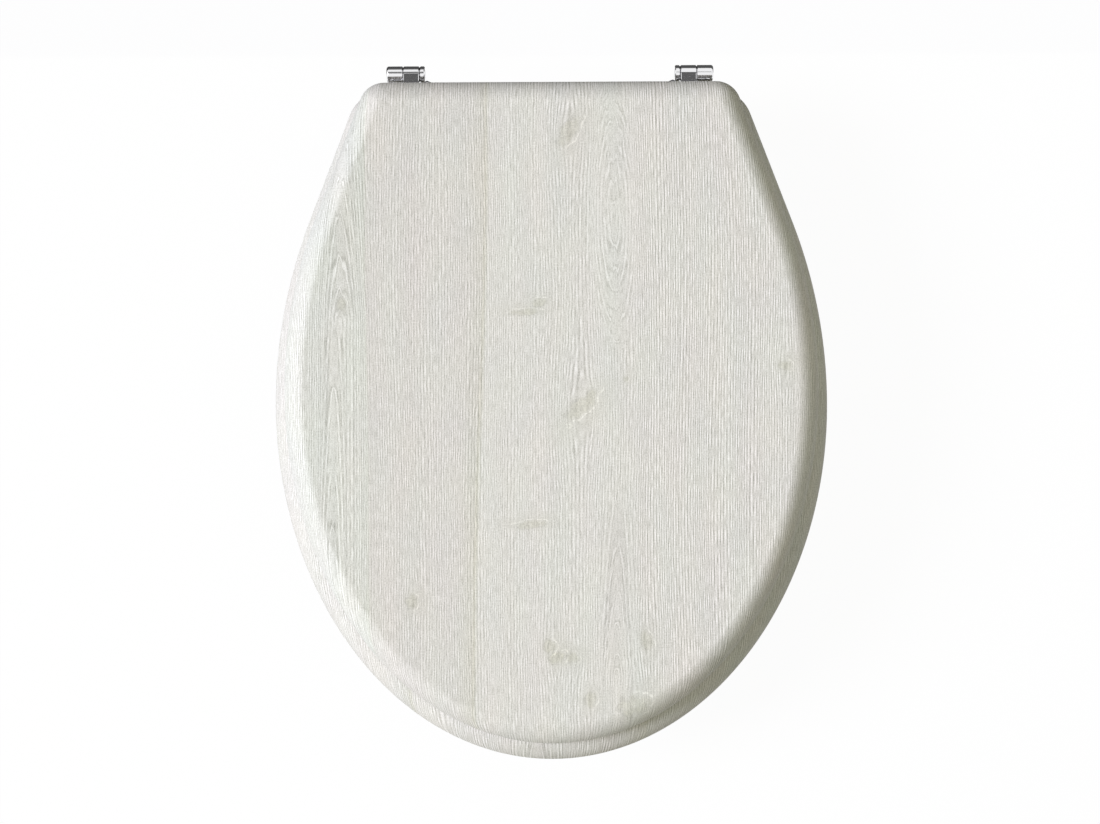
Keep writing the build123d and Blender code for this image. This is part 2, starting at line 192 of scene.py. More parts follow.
# Hinge pins: drawn steel, turned to length and pressed into the posts' ears. Only their
# chamfered ends show, with the cloudy, fine-grained bloom of the zinc coat.
zinc_cloud = (3.0, 3.0, 3.0)
zinc_bloom = (0.5, 0.5, 0.5)
bloom_depth = 0.02
steel, tree, shader, (x, y, z) = finish("zinc_plated_steel", (0.56, 0.57, 0.58), 0.32, metallic=1.0)
clouds = speckle(x, y, z, zinc_cloud)
tint(shader, 0.47 + clouds * 0.16, 0.48 + clouds * 0.16, 0.50 + clouds * 0.14)
feed(tree, shader.inputs["Roughness"], 0.24 + clouds * 0.18)
emboss(shader, speckle(x, y, z, zinc_bloom), bloom_depth)
for side in sides:
    dress(steel, f"hinge_pin_{side}")


# Hinge bushes: flanged sleeves of dark nylon, pressed into the knuckles. They run on the
# pins and show as thin dark rings between the knuckles.
nylon_texture = (0.4, 0.4, 0.4)
nylon_depth = 0.02
nylon, tree, shader, (x, y, z) = finish("dark_nylon", (0.02, 0.02, 0.021), 0.5)
emboss(shader, speckle(x, y, z, nylon_texture), nylon_depth)
for side in sides:
    dress(nylon, f"seat_bush_{side}", f"lid_bush_{side}")


# Gaskets under the feet and rubber washers under the bowl: black moulded rubber, matt, with
# a dusting of talc that makes it a little uneven.
talc_grain = (1.5, 1.5, 1.5)
rubber_texture = (0.3, 0.3, 0.3)
rubber_depth = 0.05
rubber, tree, shader, (x, y, z) = finish("black_rubber", (0.02, 0.02, 0.02), 0.8)
talc = speckle(x, y, z, talc_grain, detail=4.0).ramp(0.45, 0.75)
tint(shader, 0.018 + talc * 0.03, 0.018 + talc * 0.03, 0.019 + talc * 0.03)
emboss(shader, speckle(x, y, z, rubber_texture), rubber_depth)
for side in sides:
    dress(rubber, f"foot_gasket_{side}", f"rubber_washer_{side}")


# Clamp washers and wing nuts: white moulded plastic, tightened by hand from below the bowl,
# with the fine spark texture of the mould.
flow_mark = (9.0, 9.0, 9.0)
spark_texture = (0.35, 0.35, 0.35)
spark_depth = 0.025
white_plastic, tree, shader, (x, y, z) = finish("white_plastic", (0.75, 0.75, 0.74), 0.42)
flow = speckle(x, y, z, flow_mark)
tint(shader, 0.71 + flow * 0.08, 0.71 + flow * 0.08, 0.69 + flow * 0.08)
emboss(shader, speckle(x, y, z, spark_texture), spark_depth)
for side in sides:
    dress(white_plastic, f"clamp_washer_{side}", f"wing_nut_{side}")


# Seat ring and lid: fibreboard cut to an oval, its edges rounded, then covered with an embossed
# foil that shows white-washed softwood planks. The ring goes first, on its four buffers.
seat_widest = 211.0 * mm  # from the back edge to the widest place
seat_side_radius = 340.0 * mm
seat_side_taper = radians(21.0)
seat_corner_radius = 25.0 * mm
seat_upper_round = 14.0 * mm
seat_lower_round = 3.0 * mm
ring_front = 68.0 * mm
ring_side = 72.0 * mm
ring_back = 98.0 * mm
edge_fullness = 1.7  # upper rounding: 2 is a full arc, 1 a plain bevel
flat_margin = 0.4 * mm  # loop on each flat face, so that its shading stays flat
front_points = 144  # points along half an outline, from its front tip to its back
side_points = 40
lean_points = 16
corner_points = 24
back_points = 12
upper_loops = 18  # loops down an edge's two roundings
lower_loops = 6
seat_low, seat_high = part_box("seat_ring")


def spread(start, end, count):
    """Evenly spaced values from start up to, but without, end."""
    return [start + (end - start) * step / count for step in range(count)]


def half_board(low, high, widest, side_radius, taper, corner):
    """Right half of a board's outline: places with outward directions.

    It runs from the front tip along a quarter of an ellipse to the widest place, then along a side
    arc, a leaning straight line, a corner arc and the straight back.
    """
    half = (high.x - low.x) / 2
    widest_y = high.y - widest
    front = widest_y - low.y
    found = []
    for turn in spread(-pi / 2, 0, front_points):
        place = (half * cos(turn), widest_y + front * sin(turn))
        found.append((*place, cos(turn) / half, sin(turn) / front))
    for turn in spread(0, taper, side_points):
        way = (cos(turn), sin(turn))
        found.append((half - side_radius + side_radius * way[0], widest_y + side_radius * way[1], *way))
    lean_x = half - side_radius * (1 - cos(taper))
    lean_y = widest_y + side_radius * sin(taper)
    corner_y = high.y - corner
    corner_x = lean_x - (corner + sin(taper) * (corner_y - lean_y)) / cos(taper)
    end_x = corner_x + corner * cos(taper)
    end_y = corner_y + corner * sin(taper)
    for share in spread(0, 1, lean_points):
        place = (lean_x + (end_x - lean_x) * share, lean_y + (end_y - lean_y) * share)
        found.append((*place, cos(taper), sin(taper)))
    for turn in spread(taper, pi / 2, corner_points):
        way = (cos(turn), sin(turn))
        found.append((corner_x + corner * way[0], corner_y + corner * way[1], *way))
    for share in spread(0, 1, back_points):
        found.append((corner_x * (1 - share), high.y, 0.0, 1.0))
    return found


def whole(half):
    """A closed outline from its right half: places with unit outward directions."""
    back = half[-1]
    closed = half + [(0.0, back[1], 0.0, 1.0)]
    closed += [(-px, py, -nx, ny) for px, py, nx, ny in reversed(half[1:])]
    found = []
    for px, py, nx, ny in closed:
        length = (nx * nx + ny * ny) ** 0.5
        found.append((px, py, nx / length, ny / length))
    return found


def edge_steps(bottom, top, upper, lower):
    """Insets and heights down a rounded edge, from the top face to the underside."""
    power = 2 / edge_fullness
    steps = [(upper + flat_margin, top)]
    for turn in spread(0, pi / 2, upper_loops):
        steps.append((upper * (1 - sin(turn) ** power), top - upper * (1 - cos(turn) ** power)))
    steps.append((0.0, top - upper))
    for turn in spread(0, pi / 2, lower_loops):
        steps.append((lower * (1 - cos(turn)), bottom + lower * (1 - sin(turn))))
    return steps + [(lower, bottom), (lower + flat_margin, bottom)]


def rims(outline, steps, inward):
    """Loops of points round an edge, set in from the outline by each step's inset."""
    return [
        [(px - inward * inset * nx, py - inward * inset * ny, height) for px, py, nx, ny in outline]
        for inset, height in steps
    ]


def skin(name, loops, closed):
    """A mesh from loops of points, each joined to the next.

    A closed one joins the last loop to the first. An open one has both ends capped.
    """
    count = len(loops[0])
    points = [point for loop in loops for point in loop]
    faces = []
    pairs = list(zip(range(len(loops)), range(1, len(loops))))
    if closed:
        pairs.append((len(loops) - 1, 0))
    else:
        faces += [tuple(range(count)), tuple(reversed(range(len(points) - count, len(points))))]
    for upper, lower in pairs:
        for here in range(count):
            after = (here + 1) % count
            lower_edge = (lower * count + here, lower * count + after)
            faces.append((upper * count + here, *lower_edge, upper * count + after))
    mesh = bpy.data.meshes.new(name)
    mesh.from_pydata(points, [], faces)
    return mesh


def piece(name, mesh, material):
    """A finished piece at the origin, smooth-shaded, with one material."""
    mesh.materials.clear()
    mesh.materials.append(material)
    mesh.polygons.foreach_set("use_smooth", [True] * len(mesh.polygons))
    mesh.update()
    made = bpy.data.objects.new(name, mesh)
    bpy.context.scene.collection.objects.link(made)
    return made


seed_stride = 97.0  # millimetres from one seed's noise to the next one's
ring_spacing = 1.72  # millimetres from one year ring to the next
wash_colour = (0.682, 0.670, 0.630)
foil_roughness = 0.6
foil_depth = 0.06
side_rings = 0.7  # how fast the rings go by down a side edge
bold_fade = 6.0  # millimetres over which bold rings set in


def streaks(across, along, width, length, seed):
    """Grain lines from -0.5 to 0.5, of a width and a length in millimetres."""
    return speckle(across + seed * seed_stride, along, 0.0, (width, length, 1.0), detail=0.0) - 0.5


def year_rings(figure, slope, y, seed):
    """Thin light lines with dark sides, broken along their length, that follow a figure.

    The figure grows by one spacing from ring to ring, and slope is how fast it grows over the
    surface, so that a line keeps its width where the rings open out.
    """
    uneven = streaks(figure, y, 13.0, 400.0, seed + 0.1) * 2.2
    order = figure / ring_spacing + uneven
    off = order.put("PINGPONG", 0.5) * ring_spacing / slope
    line = off.ramp(0.7, 0.15)
    dark_side = off.ramp(0.4, 0.8) * off.ramp(1.7, 1.1)
    broken = streaks(figure, y, 2.2, 9.0, seed + 0.9).ramp(-0.3, 0.2)
    return (line - dark_side) * broken


def knotted(x, y, across, knots, seed):
    """Knots: the rings pushed aside, dark hearts, flecks in them, soft halos and light rims.

    A knot has its place, its half width and half length, its turn in degrees, and how far its push
    on the rings reaches. Its reach is counted in half widths from its middle, with a ragged edge.
    """
    ragged = streaks(x, y, 4.5, 5.5, seed + 8.3) * 0.75
    flecks = streaks(x, y, 1.6, 4.0, seed + 9.1)
    pushed = across
    hearts = 0.0
    halos = 0.0
    rim = 0.0
    for knot_x, knot_y, half_wide, half_long, turn, push in knots:
        from_x = across - knot_x
        from_y = y - knot_y
        way_x = cos(radians(turn))
        way_y = sin(radians(turn))
        aside = from_x * (way_x / half_wide) + from_y * (way_y / half_wide)
        along = from_y * (way_x / half_long) - from_x * (way_y / half_long)
        reach = (aside * aside + along * along).root() + ragged
        hearts = reach.ramp(1.3, 0.6) + hearts
        halos = (reach - aside * 0.35).ramp(3.0, 0.8) + halos
        crescent = reach.ramp(1.2, 1.3) * reach.ramp(1.55, 1.4) * aside.ramp(0.1, 0.8)
        outline = reach.ramp(0.8, 1.0) * reach.ramp(1.3, 1.1) * aside.ramp(0.3, -0.5)
        rim = crescent - outline * 0.5 + rim
        far = (from_x * from_x).put("MULTIPLY_ADD", 1 / push ** 2, 1.15)
        far = (from_y * from_y).put("MULTIPLY_ADD", 0.12 / push ** 2, far)
        pushed = pushed - from_x / far
    return pushed, hearts, hearts * flecks, halos, rim * flecks.ramp(-0.25, 0.15)


def arched(rings, pushed, ragged, y, arches, seed):
    """Rings with open cathedral figures laid over them, and how pale these make the wood.

    An arch has its middle, its half width, the places along Y of its tip and of its open end, which
    lies further back, and how fast it opens.
    """
    pale = 0.0
    for count, (arch_x, half_wide, tip_y, end_y, opening) in enumerate(arches):
        from_x = pushed - arch_x
        rise = (ragged - tip_y).above(0.0)
        figure = (from_x * from_x + rise * opening + 0.4).root()
        slope = (from_x * from_x + opening * opening / 4).root() / figure
        inside = from_x.size().ramp(half_wide, half_wide * 0.6)
        inside = inside * (y - end_y + from_x.size()).ramp(16.0, 0.0)
        arch = year_rings(figure, slope, y, seed + 10.0 + 3.0 * count) * 0.8
        rings = rings + (arch - rings) * inside
        broad = (figure * (tau / (ring_spacing * 3.0))).wave()
        pale = inside * (figure.ramp(9.0, 3.0) * 0.5 + broad) + pale
    return rings, pale


def eyed(rings, pale, pushed, ragged, y, eyes, seed):
    """Rings with long closed figures laid over them, and how pale the wood then is.

    An eye has its middle, its half width and its half length.
    """
    for count, (eye_x, eye_y, half_wide, half_long) in enumerate(eyes):
        flat = half_wide / half_long
        from_x = pushed - eye_x
        from_y = (ragged - eye_y) * flat
        figure = (from_x * from_x + from_y * from_y + 0.4).root()
        slope = (from_x * from_x + from_y * from_y * (flat * flat) + 0.01).root() / figure
        inside = figure.ramp(half_wide, half_wide * 0.7)
        eye = year_rings(figure, slope, y, seed + 20.0 + 3.0 * count) * 0.75
        rings = rings + (eye - rings) * inside
        pale = inside + pale
    return rings, pale


def planked(across, y, planks):
    """Planks side by side: the marks of their joints, how rosy each plank is and how light.

    A plank starts at a joint, which has its place, its lean and how clearly it shows, and then
    come the plank's steps in rosiness and lightness from the one before.
    """
    seam = 0.0
    rosy = 0.0
    light = 0.0
    for joint_x, lean, mark, rosy_step, light_step in planks:
        from_joint = across - joint_x - y * lean
        beside = from_joint.ramp(-14.0, -1.0) * from_joint.ramp(0.5, -0.5)
        seam = (from_joint.size().ramp(2.2, 0.6) * 0.7 + beside * 0.6) * mark + seam
        rosy = from_joint.ramp(-0.8, 0.8) * rosy_step + rosy
        light = from_joint.ramp(-3.0, 3.0) * light_step + light
    return seam, rosy, light


def washed_wood(name, top, arches, eyes, knots, planks, bold, seed):
    """White-washed softwood printed and embossed on foil, with its year rings along Y.

    Bold are the spans of X, each with a gain, where the rings stand clear and run straight. Places
    and sizes on the foil are in millimetres.
    """
    material, tree, shader, (x, y, z) = finish(name, wash_colour, foil_roughness)
    facing = tree.nodes.new("ShaderNodeSeparateXYZ")
    tree.links.new(tree.nodes.new("ShaderNodeTexCoord").outputs["Normal"], facing.inputs[0])
    depth = (top / mm - z).above(0.0)
    across = x + depth * Field(tree, facing.outputs["X"]) * side_rings
    across = across + streaks(across, y, 55.0, 240.0, seed + 0.3) * 5.0
    clear = 0.0
    for start_x, end_x, gain in bold:
        started = x.ramp(start_x - bold_fade, start_x + bold_fade)
        clear = started * x.ramp(end_x + bold_fade, end_x - bold_fade) * gain + clear
    sway = 0.6 - clear
    across = across + streaks(across, y, 6.0, 20.0, seed + 0.7) * sway
    across = across + streaks(x, y, 2.6, 6.0, seed + 1.9) * sway
    pushed, hearts, flecked, halos, rim = knotted(x, y, across, knots, seed)
    ragged = y + streaks(pushed, y, 2.2, 30.0, seed + 2.3) * 9.0
    rings = year_rings(pushed, 1.0, y, seed + 1.0)
    rings, pale = arched(rings, pushed, ragged, y, arches, seed)
    rings, pale = eyed(rings, pale, pushed, ragged, y, eyes, seed)
    seam, rosy, light = planked(across, y, planks)
    fibres = streaks(pushed, y, 0.66, 6.0, seed + 4.3)
    grit = streaks(x, y, 0.7, 1.0, seed + 3.1)
    bands = streaks(pushed, y, 11.0, 500.0, seed + 5.7)
    mottle = streaks(x, y, 20.0, 40.0, seed + 6.1)
    blush = streaks(x, y, 16.0, 70.0, seed + 7.9)
    stain = hearts + halos * 0.35
    calm = (1 - halos * 0.6).above(0.3)
    relief = rings * (clear + 0.65)
    grain = (relief * 0.34 + fibres * 0.31) * calm + grit * 0.36
    tone = 1 + grain + light + bands * 0.04 + mottle * 0.04
    tone = tone + pale * 0.035 - seam * 0.08 - stain * 0.09 + rim * 0.25 + flecked * 0.26
    rosy = rosy + blush * 0.022
    olive = stain * 0.024 + mottle * 0.02 + seam * 0.03 - grain * 0.06
    red, green, blue = wash_colour
    tint(shader, tone * (red + rosy), tone * (green - rosy * 0.3), tone * (blue - olive))
    feed(tree, shader.inputs["Roughness"], foil_roughness - rings * 0.04)
    emboss(shader, relief * 0.4 + fibres * 0.5, foil_depth)
    return material


seat_widest_y = seat_high.y - seat_widest
seat_decor = washed_wood(
    "seat_decor",
    seat_high.z,
    arches=[(-12.0, 30.0, -470.0, -380.0, 1.5)],
    eyes=[(118.0, -300.0, 12.0, 70.0)],
    knots=[
        (-128.0, -300.0, 7.0, 9.0, 20.0, 9.0),
        (66.0, -60.0, 9.0, 7.0, -30.0, 10.0),
        (142.0, -214.0, 6.0, 8.0, 10.0, 7.0),
        (-70.0, -392.0, 6.0, 7.0, 0.0, 7.0),
        (-122.0, -96.0, 2.5, 12.0, 95.0, 3.0),
    ],
    planks=[(-86.0, 0.02, 1.0, 0.004, 0.02), (62.0, 0.0, 0.5, -0.006, -0.02)],
    bold=[(-60.0, 40.0, 0.3)],
    seed=40.0,
)
board = whole(half_board(
    seat_low, seat_high, seat_widest, seat_side_radius, seat_side_taper, seat_corner_radius,
))
hole_half = seat_high.x - ring_side
hole_front = seat_widest_y - seat_low.y - ring_front
hole_back = seat_widest - ring_back
hole = []
for px, py, _, _ in board:
    reach = hole_front if py < seat_widest_y else hole_back
    turn = atan2((py - seat_widest_y) / reach, px / hole_half)
    way_x = cos(turn) / hole_half
    way_y = sin(turn) / reach
    way = (way_x * way_x + way_y * way_y) ** 0.5
    hole.append((hole_half * cos(turn), seat_widest_y + reach * sin(turn), way_x / way, way_y / way))
steps = edge_steps(seat_low.z, seat_high.z, seat_upper_round, seat_lower_round)
outer = rims(board, steps, 1)
inner = rims(hole, steps, -1)
mesh = skin("seat_ring_board", outer + inner[::-1], closed=True)
seat_ring = piece("seat_ring_board", mesh, seat_decor)
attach(seat_ring, "seat")
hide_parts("seat_ring")


# Buffers: soft white plastic, pushed by their pegs into the underside of the ring and of the
# lid, so that the boards rest without a knock.
buffer_cloud = (6.0, 6.0, 6.0)
buffer_texture = (0.3, 0.3, 0.3)
buffer_depth = 0.03
buffer_plastic, tree, shader, (x, y, z) = finish("buffer_plastic", (0.72, 0.72, 0.69), 0.5)
shader.inputs["Subsurface Weight"].default_value = 0.15
shader.inputs["Subsurface Radius"].default_value = (0.002, 0.002, 0.0018)
cloud = speckle(x, y, z, buffer_cloud)
tint(shader, 0.68 + cloud * 0.08, 0.68 + cloud * 0.08, 0.64 + cloud * 0.08)
emboss(shader, speckle(x, y, z, buffer_texture), buffer_depth)
for body in ("seat", "lid"):
    for where in ("front", "rear"):
        for side in sides:
            dress(buffer_plastic, f"{body}_buffer_{where}_{side}")


# Lid: the upper board, a little smaller than the ring and made in the same way. Its planks run
# from the hinges to the front, knotty, with cathedral figures at the left and at the front and
# a long closed one near the back.
lid_widest = 203.0 * mm
lid_side_radius = 320.0 * mm
lid_side_taper = radians(21.0)
lid_corner_radius = 17.0 * mm
lid_upper_round = 14.0 * mm
lid_lower_round = 3.0 * mm
lid_low, lid_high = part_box("lid_panel")
lid_decor = washed_wood(
    "lid_decor",
    lid_high.z,
    arches=[
        (-136.3, 26.0, -150.0, 40.0, 1.4),
        (-141.0, 10.0, -330.0, -160.0, 0.35),
        (42.0, 13.0, -385.0, -278.0, 0.9),
    ],
    eyes=[(39.5, -83.5, 17.0, 102.0)],
    knots=[
        (12.5, -27.9, 5.0, 9.2, -30.0, 7.0),
        (-136.8, -140.2, 3.0, 4.5, 0.0, 2.5),
        (-16.6, -146.2, 2.0, 9.5, 93.0, 1.5),
        (-7.0, -140.0, 2.6, 4.6, 110.0, 2.5),
        (19.0, -207.2, 4.6, 12.8, -45.0, 8.0),
        (48.0, -189.9, 1.6, 1.8, 0.0, 1.5),
        (152.4, -181.4, 4.0, 3.4, 0.0, 3.5),
        (-13.0, -285.0, 2.6, 8.5, 95.0, 1.5),
        (-92.4, -334.8, 3.8, 4.6, 0.0, 3.0),
        (0.2, -364.0, 3.8, 4.6, 0.0, 2.5),
        (4.6, -371.8, 5.2, 3.6, 20.0, 3.0),
        (14.1, -371.8, 4.0, 3.2, 0.0, 2.0),
        (61.7, -360.9, 3.5, 5.5, 15.0, 3.0),
        (25.1, -399.4, 3.6, 5.0, -20.0, 3.5),
        (53.0, -403.5, 9.5, 6.5, 20.0, 5.0),
    ],
    planks=[
        (-185.0, 0.0, 0.0, -0.01, 0.015),
        (-120.0, 0.0, 0.3, 0.016, -0.03),
        (-41.4, 0.026, 1.0, -0.006, 0.04),
        (58.0, 0.0, 0.0, 0.003, -0.025),
    ],
    bold=[(-185.0, -120.0, 0.2), (58.0, 156.0, 0.3)],
    seed=3.0,
)
board = whole(half_board(
    lid_low, lid_high, lid_widest, lid_side_radius, lid_side_taper, lid_corner_radius,
))
steps = edge_steps(lid_low.z, lid_high.z, lid_upper_round, lid_lower_round)
edge = rims(board, steps, 1)
lid_middle_y = lid_high.y - lid_widest


def drawn_in(loop):
    """Loops that draw a flat face in towards the board's middle, to close it."""
    return [
        [(px * share, lid_middle_y + (py - lid_middle_y) * share, pz) for px, py, pz in loop]
        for share in (0.75, 0.5, 0.25)
    ]


loops = drawn_in(edge[0])[::-1] + edge + drawn_in(edge[-1])
mesh = skin("lid_board", loops, closed=False)
lid_board = piece("lid_board", mesh, lid_decor)
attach(lid_board, "lid")
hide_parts("lid_panel")


# Fixing bolts: coach bolts of zinc-plated steel, with a flat round head, a square neck that holds
# them in the foot and a rolled thread for the wing nuts.
bolt_head_height = 1.5 * mm
bolt_neck_width = 6.0 * mm
bolt_neck_height = 2.0 * mm
bolt_shank_radius = 3.0 * mm
bolt_thread_length = 40.0 * mm
bolt_core_radius = 2.2 * mm
bolt_thread_pitch = 1.0 * mm
bolt_thread_depth = 0.48 * mm
bolt_tip_pitches = 1.2  # length of the tapered tip, in pitches
bolt_tip_taper = 0.7
rod_sides = 40
thread_points = 28  # points in one turn of a thread
crease = radians(35)  # edges sharper than this aren't shaded smooth


def recipe(name, sizes):
    """A Geometry Nodes tree with a named input for each size: the tree, its points and its sizes."""
    tree = bpy.data.node_groups.new(name, "GeometryNodeTree")
    tree.interface.new_socket("Points", in_out="INPUT", socket_type="NodeSocketGeometry")
    for label in sizes:
        tree.interface.new_socket(label, in_out="INPUT", socket_type="NodeSocketFloat")
    tree.interface.new_socket("Pieces", in_out="OUTPUT", socket_type="NodeSocketGeometry")
    inputs = tree.nodes.new("NodeGroupInput").outputs
    return tree, inputs["Points"], {label: Field(tree, inputs[label]) for label in sizes}


def add(tree, kind, settings=None, **sockets):
    """A node with its settings and its inputs, given by name with _ for a space; its first output."""
    node = tree.nodes.new(f"GeometryNode{kind}")
    for label, value in (settings or {}).items():
        setattr(node, label, value)
    for label, value in sockets.items():
        socket = node.inputs[label.replace("_", " ")]
        for one in value if isinstance(value, list) else [value]:
            if isinstance(one, bpy.types.NodeSocket):
                tree.links.new(one, socket)
            else:
                feed(tree, socket, one)
    return node.outputs[0]


def raised(tree, shape, height):
    """A shape moved up by a height."""
    place = tree.nodes.new("ShaderNodeCombineXYZ")
    feed(tree, place.inputs["Z"], height)
    return add(tree, "Transform", Geometry=shape, Translation=place.outputs[0])


def turned(tree, lower_radius, upper_radius, length, start):
    """A turned length of rod, straight or tapered, that stands on its start height."""
    rod = add(
        tree, "MeshCone", Vertices=rod_sides,
        Radius_Bottom=lower_radius, Radius_Top=upper_radius, Depth=length,
    )
    return raised(tree, rod, start)


def block(tree, long, wide, high, start):
    """A square block about the axis that stands on its start height."""
    size = tree.nodes.new("ShaderNodeCombineXYZ")
    for socket, value in zip(size.inputs, (long, wide, high)):
        feed(tree, socket, value)
    return raised(tree, add(tree, "MeshCube", Size=size.outputs[0]), start + high * 0.5)


def thread(tree, core_radius, pitch, depth, length, start):
    """A sharp ridge, square in section, wound round a core."""
    path = add(
        tree, "CurveSpiral", Resolution=thread_points, Rotations=length / pitch,
        Start_Radius=core_radius, End_Radius=core_radius, Height=length,
    )
    path = add(tree, "SetCurveNormal", {"mode": "Z_UP"}, Curve=path)
    ridge = add(tree, "CurvePrimitiveCircle", Resolution=4, Radius=depth)
    wound = add(tree, "CurveToMesh", Curve=path, Profile_Curve=ridge, Fill_Caps=True)
    return raised(tree, wound, start)


def made_at(name, tree, points, shapes, sizes, places, material):
    """The shapes joined and set at each place, as one plain mesh."""
    joined = add(tree, "JoinGeometry", Geometry=shapes)
    copies = add(tree, "InstanceOnPoints", Points=points, Instance=joined)
    solid = add(tree, "RealizeInstances", Geometry=copies)
    coated = add(tree, "SetMaterial", Geometry=solid, Material=material)
    tree.links.new(coated, tree.nodes.new("NodeGroupOutput").inputs["Pieces"])
    marks = bpy.data.meshes.new(f"{name}_places")
    marks.from_pydata(places, [], [])
    holder = bpy.data.objects.new(f"{name}_places", marks)
    bpy.context.scene.collection.objects.link(holder)
    modifier = holder.modifiers.new(name, "NODES")
    modifier.node_group = tree
    for socket in tree.interface.items_tree:
        if socket.name in sizes:
            modifier[socket.identifier] = sizes[socket.name]
    depsgraph = bpy.context.evaluated_depsgraph_get()
    mesh = bpy.data.meshes.new_from_object(holder.evaluated_get(depsgraph), depsgraph=depsgraph)
    bpy.data.objects.remove(holder)
    mesh.set_sharp_from_angle(angle=crease)
    return piece(name, mesh, material)


bolt_low, bolt_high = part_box("fixing_bolt_right")
bolt_x = (bolt_low.x + bolt_high.x) / 2
bolt_y = (bolt_low.y + bolt_high.y) / 2
sizes = {
    "Head Radius": (bolt_high.x - bolt_low.x) / 2,
    "Head Height": bolt_head_height,
    "Neck Width": bolt_neck_width,
    "Neck Height": bolt_neck_height,
    "Shank Radius": bolt_shank_radius,
    "Core Radius": bolt_core_radius,
    "Thread Length": bolt_thread_length,
    "Pitch": bolt_thread_pitch,
    "Thread Depth": bolt_thread_depth,
    "Length": bolt_high.z - bolt_low.z,
}
tree, points, size = recipe("coach_bolt", sizes)
head = size["Head Radius"]
neck = size["Neck Width"]
shank = size["Shank Radius"]
core = size["Core Radius"]
threaded = size["Thread Length"]
neck_start = size["Length"] - size["Head Height"] - size["Neck Height"]
tip = size["Pitch"] * bolt_tip_pitches
shapes = [
    turned(tree, head, head, size["Head Height"], neck_start + size["Neck Height"]),
    block(tree, neck, neck, size["Neck Height"], neck_start),
    turned(tree, shank, shank, neck_start - threaded, threaded),
    turned(tree, core, core, threaded - tip, tip),
    turned(tree, core * bolt_tip_taper, core, tip, 0.0),
    thread(tree, core, size["Pitch"], size["Thread Depth"], threaded - tip * 2, tip),
]
places = [(sign * bolt_x, bolt_y, bolt_low.z) for sign in (-1, 1)]
bolts = made_at("fixing_bolts", tree, points, shapes, sizes, places, steel)
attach(bolts, "fixings")
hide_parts("fixing_bolt_left", "fixing_bolt_right")


# Bracket screws: countersunk wood screws with a cross recess, two in each leaf, driven up into the
# boards from below. They are cold-formed steel with a zinc coat.
screw_shank_radius = 2.0 * mm
screw_core_radius = 1.4 * mm
screw_thread_pitch = 1.8 * mm
screw_thread_depth = 0.5 * mm
screw_tip_length = 4.0 * mm
screw_tip_radius = 0.3 * mm
screw_recess_width = 1.0 * mm
screw_recess_length = 4.4 * mm
screw_recess_depth = 1.6 * mm
screw_head_radius = 4.0 * mm
screw_spacing = 15.0 * mm


def screws(body, places):
    """One body's screws, heads down, that start at the lowest point of their box."""
    low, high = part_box(f"{body}_bracket_screws")
    sizes = {
        "Head Radius": screw_head_radius,
        "Shank Radius": screw_shank_radius,
        "Core Radius": screw_core_radius,
        "Pitch": screw_thread_pitch,
        "Thread Depth": screw_thread_depth,
        "Tip Length": screw_tip_length,
        "Tip Radius": screw_tip_radius,
        "Recess Width": screw_recess_width,
        "Recess Length": screw_recess_length,
        "Recess Depth": screw_recess_depth,
        "Length": high.z - low.z,
    }
    tree, points, size = recipe(f"{body}_bracket_screw", sizes)
    shank = size["Shank Radius"]
    core = size["Core Radius"]
    head_height = size["Head Radius"] - shank
    tip_start = size["Length"] - size["Tip Length"]
    threaded = tip_start - head_height
    head = turned(tree, size["Head Radius"], shank, head_height, 0.0)
    arms = [size["Recess Length"], size["Recess Width"]]
    for long, wide in (arms, arms[::-1]):
        recess = block(tree, long, wide, size["Recess Depth"] * 2, size["Recess Depth"] * -1)
        head = add(tree, "MeshBoolean", {"operation": "DIFFERENCE"}, Mesh_1=head, Mesh_2=recess)
    shapes = [
        head,
        turned(tree, core, core, threaded, head_height),
        turned(tree, core, size["Tip Radius"], size["Tip Length"], tip_start),
        thread(tree, core, size["Pitch"], size["Thread Depth"], threaded, head_height),
    ]
    places = [(px, py, low.z) for px, py in places]
    made = made_at(f"{body}_screws", tree, points, shapes, sizes, places, steel)
    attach(made, body)
    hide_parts(f"{body}_bracket_screws")


low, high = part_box("seat_bracket_screws")
seat_screw_x = high.x - screw_head_radius
rows = (low.y + screw_head_radius, high.y - screw_head_radius)
screws("seat", [(sign * seat_screw_x, row) for sign in (-1, 1) for row in rows])
low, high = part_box("lid_bracket_screws")
lid_screw_x = high.x - screw_head_radius
columns = (lid_screw_x, lid_screw_x - screw_spacing)
screws("lid", [(sign * column, (low.y + high.y) / 2) for sign in (-1, 1) for column in columns])


# Floor: a plain white sweep below the bolts. It shows white to the camera and to the chrome,
# and keeps a faint shadow of the seat.
floor_reach = 4.0
floor_z = cad_low.z - 2 * mm
floor_glow = 0.96  # the rest is plain white paper, which keeps the shadow
floor_bounce = (0.34, 0.34, 0.31, 1)  # what the floor gives back to the object
white = (1, 1, 1, 1)


def seen_directly(tree):
    """1 for rays from the camera and for mirror and see-through rays, else 0."""
    path = tree.nodes.new("ShaderNodeLightPath")
    rays = [Field(tree, path.outputs[f"Is {kind} Ray"]) for kind in ("Camera", "Glossy", "Transmission")]
    return rays[0].put("MAXIMUM", rays[1]).put("MAXIMUM", rays[2])


def shade_mix(tree, share, first, second):
    """Two shaders, with the share of the second."""
    mix = tree.nodes.new("ShaderNodeMixShader")
    feed(tree, mix.inputs[0], share)
    tree.links.new(first, mix.inputs[1])
    tree.links.new(second, mix.inputs[2])
    return mix.outputs[0]


